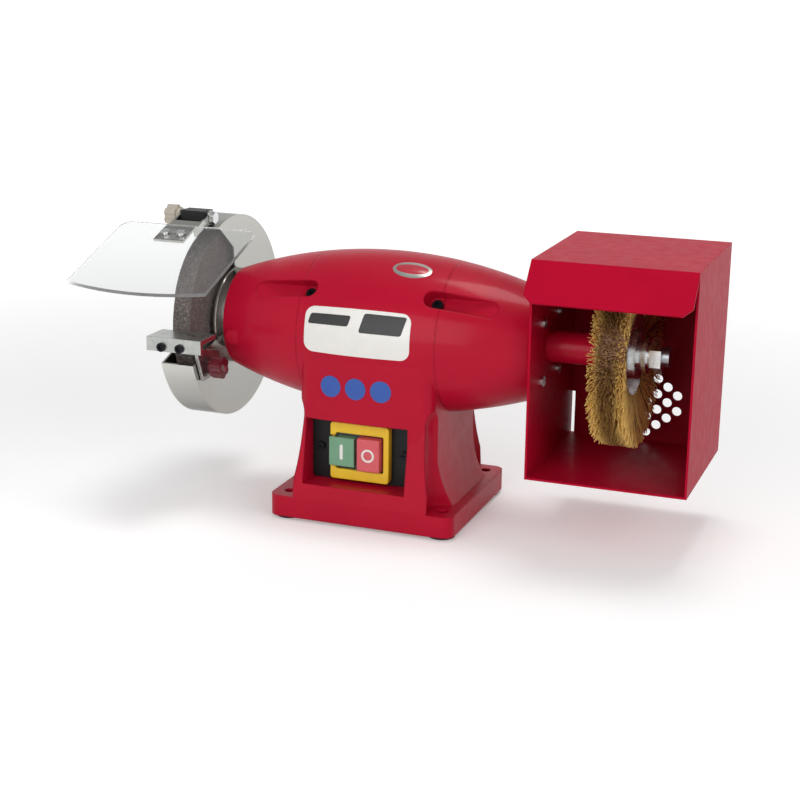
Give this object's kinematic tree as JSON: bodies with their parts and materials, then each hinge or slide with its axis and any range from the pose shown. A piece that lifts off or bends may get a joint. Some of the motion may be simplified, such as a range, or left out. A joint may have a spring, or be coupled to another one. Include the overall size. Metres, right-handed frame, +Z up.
{
  "type": "combination bench grinder",
  "caption": "Bench grinder with a guarded grinding wheel at one end of a crowned motor barrel and a wire brush in an open sheet-metal hood at the other, on a cast pedestal.",
  "frame": {"origin": "on the bench under the rubber feet, in the middle of the four bench bolts", "axes": "+X along the shaft towards the brush, -Y to the user in front, +Z up"},
  "size_m": [0.483, 0.2476, 0.252],
  "materials": {
    "red_enamel": "glossy enamel",
    "dark_enamel": "glossy enamel",
    "bright_sheet": "polished",
    "zinc": "zinc plated",
    "steel": "machined",
    "rest_steel": "zinc plated",
    "black_plastic": "matt",
    "dark_plastic": "matt",
    "rubber": "matt",
    "copper": "varnished",
    "can": "satin",
    "yellow_plastic": "satin",
    "green_plastic": "satin",
    "red_plastic": "satin",
    "abrasive": "bonded grain",
    "paper": "matt",
    "brass_wire": "crimped wire",
    "clear_sheet": "clear"
  },
  "bodies": {
    "frame": {"motor_housing": "red_enamel", "left_end_bell": "red_enamel", "right_end_bell": "red_enamel", "bell_screws": "steel", "bottom_cover": "steel", "bottom_cover_screws": "steel", "rubber_feet": "rubber", "stator_core": "steel", "stator_windings": "copper", "capacitor": "can", "capacitor_clip": "steel", "switch_plate": "black_plastic", "switch_body": "dark_plastic", "switch_bezel": "yellow_plastic", "switch_screws": "zinc", "cable_gland": "black_plastic", "gland_nut": "black_plastic", "left_bearing_outer": "steel", "right_bearing_outer": "steel", "wave_washer": "steel", "guard_spacer": "bright_sheet", "guard_body": "bright_sheet", "guard_cover": "bright_sheet", "guard_screws": "steel", "guard_cover_screws": "steel", "rest_stud": "steel", "shield_block": "black_plastic", "shield_block_screw": "steel", "shield_bolt": "steel", "brush_hood": "red_enamel", "hood_back_panel": "dark_enamel", "hood_screws": "zinc"},
    "spindle": {"shaft": "steel", "rotor_core": "steel", "rotor_end_rings": "can", "left_bearing_inner": "steel", "left_bearing_balls": "steel", "right_bearing_inner": "steel", "right_bearing_balls": "steel", "wheel_inner_flange": "steel", "wheel_outer_flange": "steel", "wheel_blotters": "paper", "grinding_wheel": "abrasive", "wheel_nut": "steel", "brush_inner_flange": "steel", "brush_hub": "zinc", "brush_wires": "brass_wire", "brush_outer_flange": "zinc", "brush_washer": "zinc", "brush_nut": "zinc"},
    "start": {"start_button": "green_plastic"},
    "stop": {"stop_button": "red_plastic"},
    "shield": {"shield_arm": "bright_sheet", "eye_shield": "clear_sheet", "shield_screws": "steel"},
    "shield_clamp": {"shield_knob": "black_plastic"},
    "rest": {"tool_rest": "rest_steel", "rest_screws": "black_plastic"},
    "rest_clamp": {"rest_knob": "black_plastic"}
  },
  "joints": [
    {"name": "spindle_spin", "type": "hinge", "parent": "frame", "child": "spindle", "pos_m": [0, 0, 0.154], "axis": [1, 0, 0], "continuous": true},
    {"name": "start_press", "type": "slide", "parent": "frame", "child": "start", "axis": [0, 1, 0], "range_m": [0, 0.0035], "stiffness_N_per_m": 800, "springref_m": -0.001},
    {"name": "stop_press", "type": "slide", "parent": "frame", "child": "stop", "axis": [0, 1, 0], "range_m": [0, 0.0035], "stiffness_N_per_m": 800, "springref_m": -0.001},
    {"name": "shield_tilt", "type": "hinge", "parent": "frame", "child": "shield", "pos_m": [-0.1645, -0.031, 0.243], "axis": [-1, 0, 0], "range_deg": [-10, 75]},
    {"name": "shield_clamp_turn", "type": "hinge", "parent": "frame", "child": "shield_clamp", "pos_m": [-0.185, -0.031, 0.243], "axis": [1, 0, 0], "range_deg": [-180, 180]},
    {"name": "rest_slide", "type": "slide", "parent": "frame", "child": "rest", "axis": [0, 1, 0], "range_m": [-0.01, 0.002]},
    {"name": "rest_clamp_turn", "type": "hinge", "parent": "frame", "child": "rest_clamp", "pos_m": [-0.133, -0.06, 0.122], "axis": [1, 0, 0], "range_deg": [-180, 180]}
  ]
}
